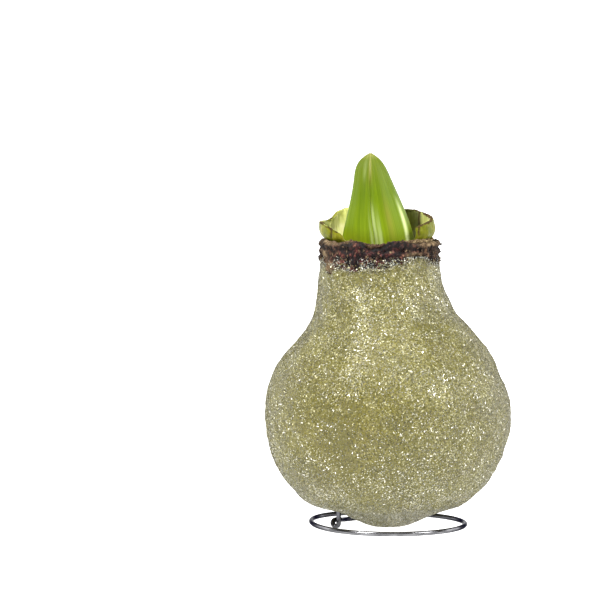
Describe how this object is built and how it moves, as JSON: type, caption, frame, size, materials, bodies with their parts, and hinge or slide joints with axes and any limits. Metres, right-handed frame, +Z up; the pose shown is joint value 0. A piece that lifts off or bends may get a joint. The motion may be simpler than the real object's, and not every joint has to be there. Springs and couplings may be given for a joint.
{
  "type": "waxed amaryllis bulb",
  "caption": "Amaryllis bulb in a glittered wax coat with a green flower bud, cut leaf bases and dry skins at its neck, on a bent wire ring stand.",
  "frame": {"origin": "middle of the small flat spot that the bulb stands on, with the wire stand's ring round it in the same plane", "axes": "+Z up along the bulb towards the bud's tip, -Y towards the front, where the bud stands"},
  "size_m": [0.0889, 0.087, 0.1344],
  "materials": {
    "glitter_wax": "wax rolled in champagne glass glitter, sparkling",
    "bulb_flesh": "cut bulb scales, damp and matte",
    "dry_skin": "dried papery bulb skin, torn, dark brown",
    "inner_dry_skin": "dried papery bulb skin, tan",
    "leaf_base": "fleshy yellow-green leaf base with browned cut edge",
    "bud": "fresh waxy green leaf surface with fine veins",
    "wire": "drawn bright steel wire"
  },
  "bodies": {
    "root": {"wax_coat": "glitter_wax", "bulb": "bulb_flesh", "outer_tunic": "dry_skin", "inner_tunic": "inner_dry_skin", "leaf_base_left": "leaf_base", "leaf_base_right": "leaf_base", "leaf_base_back": "leaf_base", "bud_valve_left": "bud", "bud_valve_right": "bud", "wire_stand": "wire"}
  },
  "joints": []
}
